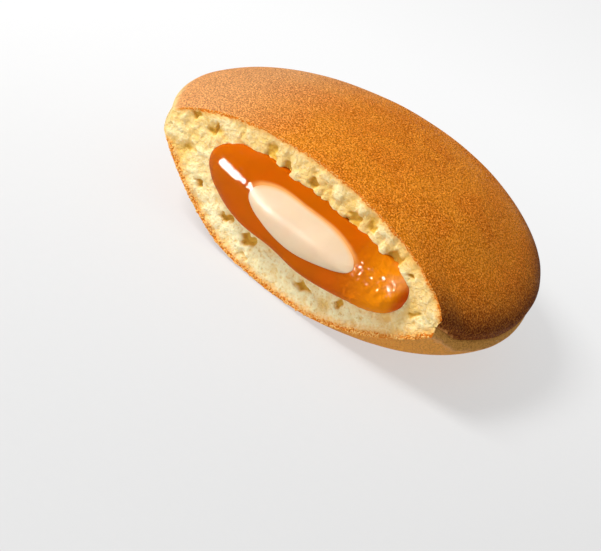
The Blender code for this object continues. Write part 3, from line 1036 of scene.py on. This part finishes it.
# Painted light: the lower part of the face is painted lighter, where the drop of caramel shades it.
below = band(tree, along(tree, "Z"), SEAM_HEIGHT - 5.0 * MM, SEAM_HEIGHT - 12.0 * MM)
inside = layers(tree, blend(tree, clouds, (243, 219, 161), (240, 204, 132)),
                (below, 0.85, (255, 243, 200)),
                # Painted shade in the sponge's pits and where it lies low, painted light where it
                # stands high.
                (sponge["Pit"], 0.25, (240, 190, 96)),
                (band(tree, sponge["Height"], 0.50, 0.30), 0.4, (234, 198, 122)),
                (band(tree, sponge["Height"], 0.50, 0.68), 0.5, (255, 242, 200)),
                (effect(tree, OPEN_SPONGE, 1.7 * MM)["Pit"], 0.35, (236, 192, 108)),
                # Painted golden shade in places that lie deep behind the cut, and a painted
                # highlight on what stands proud of it.
                (band(tree, behind, -0.05 * MM, 0.55 * MM), 0.6, (240, 196, 106)),
                (band(tree, behind, 0.35 * MM, 0.95 * MM), 1.0, (226, 178, 76)),
                (band(tree, behind, 0.0, -0.4 * MM), 0.6, (255, 238, 186)))
wander = times(tree, calc(tree, "SUBTRACT", patchy(tree, 1.0 * MM), 0.5), 0.4)
fringe = calc(tree, "ADD", mark(tree, "skin"), wander)
right = times(tree, mark(tree, "right_side"), 3.0)
browned = band(tree, calc(tree, "ADD", mark(tree, "bake"), right), -0.5, 1.5)
golden_edge = times(tree, band(tree, fringe, 1.7, 0.5), browned)
line = times(tree, band(tree, fringe, 0.60, 0.35), browned)
inside = layers(tree, inside, (golden_edge, 0.65, (240, 174, 76)), (line, 1.0, (220, 124, 34)))
fill_shader(tree, inside, (sponge["Height"], 0.45 * MM), (0.7, clouds, 0.15), 0.02,
            (0.4, (1.0, 0.88, 0.6), 0.8 * MM))

# %% [markdown]
# ## The caramel
#
# Caramel sauce is dark amber and glossy. Towards its right end it is painted a brighter golden
# orange, a painted glow of light shining through it, and a few patches up there are painted a pale
# peach, a painted sheen. Its gloss is a thin mirror over a saturated colour: the reflection is weak
# for each colour but very sharp, and only a bright lamp shows in it as a white streak. The wrinkled
# end gets a small crinkle in its bump, and there the streak breaks into sparkles.

# %% The caramel finish
caramel_sauce, tree = new_material("caramel_sauce")
across, upper, place = along(tree, "X"), mark(tree, "upper"), place_in(tree)
patches = patchy(tree, 9 * MM)
near = times(tree, band(tree, mark(tree, "cream_share"), 1.10, 0.97), upper)
# Painted sheen: pale peach patches on the upper right end stand for a soft reflection.
painted_sheen = times(tree, band(tree, across, 21.5 * MM, 25.8 * MM), upper)
amber = layers(tree, blend(tree, patches, (186, 82, 0), (178, 84, 0)),
               # Painted glow: the right end is painted a brighter golden, as if lit through.
               (band(tree, across, 14 * MM, 26 * MM), 0.8, (238, 142, 8)),
               (band(tree, across, 26.2 * MM, 28.5 * MM), 1.0, (204, 76, 0)),
               (near, 1.0, (238, 164, 88)),
               (times(tree, painted_sheen, patchy(tree, 2.8 * MM)), 0.8, (240, 156, 96)))
crinkled = calc(tree, "ADD", 0.12, band(tree, across, 11 * MM, 18 * MM))
crinkles = times(tree, scaled_noise(tree, place, 1.2 * MM, 1.0), crinkled)
relief = calc(tree, "ADD", scaled_noise(tree, place, 4 * MM), times(tree, crinkles, 0.9))
fill_shader(tree, amber, (relief, 0.3 * MM), (0.05, patches, 0.04), 0.05,
            (0.1, (1.0, 0.6, 0.2), 1.0 * MM))

# %% [markdown]
# ## The cream
#
# Milk cream is the calmest surface of all: ivory, smooth and a little translucent. Its gloss is
# softer than the caramel's. Along the upper edge it takes on the caramel's lighter colour.

# %% The cream finish
milk_cream, tree = new_material("milk_cream")
patches = patchy(tree, 6 * MM)
soft = times(tree, band(tree, mark(tree, "cream_share"), 0.86, 1.02), mark(tree, "upper"))
ivory = layers(tree, blend(tree, patches, (222, 196, 164), (218, 190, 156)),
               (soft, 1.0, (238, 164, 88)))
ripples = scaled_noise(tree, place_in(tree), 3 * MM)
fill_shader(tree, ivory, (ripples, 0.08 * MM), (0.26, patches, 0.06), 0.03,
            (0.5, (1.0, 0.7, 0.45), 2.0 * MM))

# %% [markdown]
# ## Loose crumbs
#
# A cut never leaves a clean edge: tiny browned grains cling to the rim of the cut. Geometry Nodes
# scatter them. Points fall on the torn faces, thicker where a number on the mesh says so. Each
# point gets a grain of its own size and turn, half sunk in, and noise then dents the grains, so
# that no two look alike. A grain has only twenty faces, because there are so many of them.

# %% The crumb tree
def crumb_tree():
    inputs = {"Geometry": "Geometry", "Pancake": "Object", "Density": "Float", "Where": "String",
              "Smallest": "Float", "Largest": "Float", "Seed": "Int", "Material": "Material"}
    tree, given = new_tree("Scattered Crumbs", "Geometry", inputs, {"Geometry": "Geometry"})
    pancake = add(tree, "GeometryNodeObjectInfo", {"Object": given["Pancake"]}, out="Geometry")
    torn = add(tree, "GeometryNodeInputNamedAttribute", {"Name": "torn"}, data_type="BOOLEAN")
    share = add(tree, "GeometryNodeInputNamedAttribute", {"Name": given["Where"]},
                data_type="FLOAT")
    density = times(tree, share, given["Density"])
    spread = add(tree, "GeometryNodeDistributePointsOnFaces",
                 {"Mesh": pancake, "Selection": torn, "Density": density, "Seed": given["Seed"]},
                 out=None).outputs
    ball = add(tree, "GeometryNodeMeshIcoSphere", {"Radius": 1.0, "Subdivisions": 1})
    size = add(tree, "FunctionNodeRandomValue",
               {2: given["Smallest"], 3: given["Largest"], "Seed": given["Seed"]},
               data_type="FLOAT", out=1)
    turn = add(tree, "FunctionNodeRandomValue",
               {0: (0.0, 0.0, 0.0), 1: (math.tau, math.tau, math.tau), "Seed": given["Seed"]},
               data_type="FLOAT_VECTOR", out=0)
    placed = add(tree, "GeometryNodeInstanceOnPoints",
                 {"Points": spread["Points"], "Instance": ball, "Rotation": turn, "Scale": size})
    real = add(tree, "GeometryNodeRealizeInstances", {0: placed})
    dents = add(tree, "ShaderNodeTexNoise", {"Scale": 1.0 / (0.35 * MM), "Detail": 1.0},
                out="Color")
    centred = add(tree, "ShaderNodeVectorMath", {0: dents, 1: (0.5, 0.5, 0.5)},
                  operation="SUBTRACT")
    push = add(tree, "ShaderNodeVectorMath",
               {0: centred, "Scale": times(tree, given["Largest"], 1.4)}, operation="SCALE")
    dented = add(tree, "GeometryNodeSetPosition", {"Geometry": real, "Offset": push})
    smooth = add(tree, "GeometryNodeSetShadeSmooth", {"Geometry": dented})
    return close_geometry(tree, smooth, given["Material"])


CRUMB_TREE = crumb_tree()


golden_grain, tree = new_material("golden_crumbs")
patches, grain = patchy(tree, 0.7 * MM), effect(tree, BAKED_GRAIN, 0.3 * MM)
fill_shader(tree, blend(tree, patches, (250, 204, 124), (230, 152, 58)),
            (grain["Height"], 0.1 * MM), (0.6, patches, 0.2), 0.02)
DENSITY = 12.0 / MM ** 2

for name, pancake, smallest, largest, seed, slot in (
        ("upper_golden_crumbs", top, 0.06 * MM, 0.15 * MM, 5, "browned_crust"),
        ("lower_golden_crumbs", bottom, 0.10 * MM, 0.26 * MM, 11, "golden_crust")):
    grains = new_object(name, bpy.data.meshes.new(name))
    grow(grains, CRUMB_TREE, Pancake=pancake, Density=DENSITY, Where="fringe",
         Smallest=smallest, Largest=largest, Seed=seed, Material=golden_grain)
    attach(grains, "root")
    print(name, len(grains.data.polygons), "faces")

# %% [markdown]
# ## Dressing the frame
#
# Each finished piece gets its finishes and rides on the frame's root, and the imported solid that
# it stands for is hidden. The frame has no joints, so all pieces ride on its root.

# %% Hand the finished pieces to the frame
def dress(obj, name, materials, node):
    """Gives a piece its finishes, hangs it on the root and hides the solid that it stands for."""
    obj.name = name
    obj.data.name = name
    if len(obj.data.materials) != len(materials):
        obj.data.materials.clear()
        for material in materials:
            obj.data.materials.append(material)
    for index, material in enumerate(materials):
        obj.data.materials[index] = material
    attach(obj, "root")
    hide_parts(node)


dress(top, "upper_pancake", (top_crust, soft_crumb), "pancake_top")
dress(bottom, "lower_pancake", (bottom_crust, soft_crumb), "pancake_bottom")
dress(caramel, "caramel_filling", (caramel_sauce,), "caramel")
dress(cream, "cream_filling", (milk_cream,), "cream")

# %% [markdown]
# ## The studio
#
# The camera stands front and a little right of the cut, looks down at it and is rolled, which is
# what makes the flat-lying cake seem to lean. The lens is long, so the far rim isn't much smaller
# than the near one.

# %% Camera
CAMERA_PLACE = (0.0917, -0.2719, 0.1444)
CAMERA_AZIMUTH = 19.24
CAMERA_ELEVATION = 27.75
CAMERA_ROLL = 28.5
LENS = 83.86
SENSOR = 36.0

camera_data = bpy.data.cameras.new("camera")
camera_data.lens = LENS
camera_data.sensor_width = SENSOR
camera_data.clip_start = 10 * MM
camera = new_object("camera", camera_data)
camera.location = CAMERA_PLACE
turn = (Matrix.Rotation(math.radians(CAMERA_AZIMUTH), 3, "Z")
        @ Matrix.Rotation(math.radians(90 - CAMERA_ELEVATION), 3, "X")
        @ Matrix.Rotation(math.radians(CAMERA_ROLL), 3, "Z"))
camera.rotation_euler = turn.to_euler()
bpy.context.scene.camera = camera

# %% [markdown]
# ## The floor
#
# A product photo has a pale ground without a horizon. The floor is one large plane that glows a
# little, less towards the camera, so it goes from light grey to white and still takes a shadow.

# %% Floor
FLOOR_HALF = 1.5
AWAY = (-0.551, 0.834, 0.0)

floor_mesh = bpy.data.meshes.new("floor")
floor_mesh.from_pydata([(x * FLOOR_HALF, y * FLOOR_HALF, 0)
                        for x, y in ((-1, -1), (1, -1), (1, 1), (-1, 1))], [], [(0, 1, 2, 3)])
floor = new_object("floor", floor_mesh)
floor_paint, tree = new_material("pale_floor")
away = add(tree, "ShaderNodeVectorMath", {0: place_in(tree), 1: AWAY}, operation="DOT_PRODUCT",
           out="Value")
paper = scaled_noise(tree, place_in(tree), 2 * MM)
floor_shader = tree.nodes["Principled BSDF"].inputs
fade = band(tree, away, -0.15, 0.16)
for label, amount, *greys in (("Base Color", paper, 0.27, 0.28),
                              ("Emission Color", fade, 0.455, 0.69)):
    greys = [(grey, grey, grey, 1) for grey in greys]
    tree.links.new(blend(tree, amount, *greys), floor_shader[label])
for label, value in (("Emission Strength", 1.0), ("Roughness", 0.9), ("Specular IOR Level", 0.0)):
    floor_shader[label].default_value = value
floor_mesh.materials.append(floor_paint)

# %% [markdown]
# ## The lights
#
# One large soft lamp from the upper left gives the shape. A weak one from the front and a white
# world fill the shadows. Two more lamps are there for the gloss alone: a broad one to the left for
# the streaks on caramel and cream, and a small one for the sparkles on the wrinkled end. Both shine
# on the filling only, so the crust doesn't glare in them when it is seen from behind.

# %% Lights
LAMP_DISTANCE = 0.6
WORLD_STRENGTH = 0.42
# Name, direction, width and height in metres, power in watts and whether it is for gloss alone.
LAMPS = (
    ("key", (-0.56, -0.42, 0.72), (0.20, 0.20), 3.75, False),
    ("fill", (-0.30, -0.94, 0.16), (0.30, 0.20), 0.55, False),
    ("gloss_strip", (-0.60, -0.79, 0.14), (0.37, 0.17), 50.0, True),
    ("glint", (0.24, -0.91, 0.30), (0.025, 0.08), 36.0, True),
)

glossy_pieces = bpy.data.collections.new("glossy_pieces")
for piece in (caramel, cream):
    glossy_pieces.objects.link(piece)
for name, direction, size, power, for_gloss in LAMPS:
    data = bpy.data.lights.new(name, "AREA")
    data.shape = "RECTANGLE"
    data.size, data.size_y = size
    data.energy = power
    lamp = new_object(name, data)
    way = Vector(direction).normalized()
    lamp.location = way * LAMP_DISTANCE + Vector((0, 0, SEAM_HEIGHT))
    lamp.rotation_euler = way.to_track_quat("Z", "Y").to_euler()
    lamp.visible_camera = False
    lamp.visible_glossy = for_gloss
    lamp.visible_diffuse = not for_gloss
    if for_gloss:
        lamp.light_linking.receiver_collection = glossy_pieces
world = bpy.data.worlds.new("white_world")
world.use_nodes = True
sky = world.node_tree.nodes["Background"].inputs
sky["Color"].default_value = (1.0, 1.0, 1.0, 1.0)
sky["Strength"].default_value = WORLD_STRENGTH
bpy.context.scene.world = world
bpy.context.scene.view_settings.view_transform = "Standard"
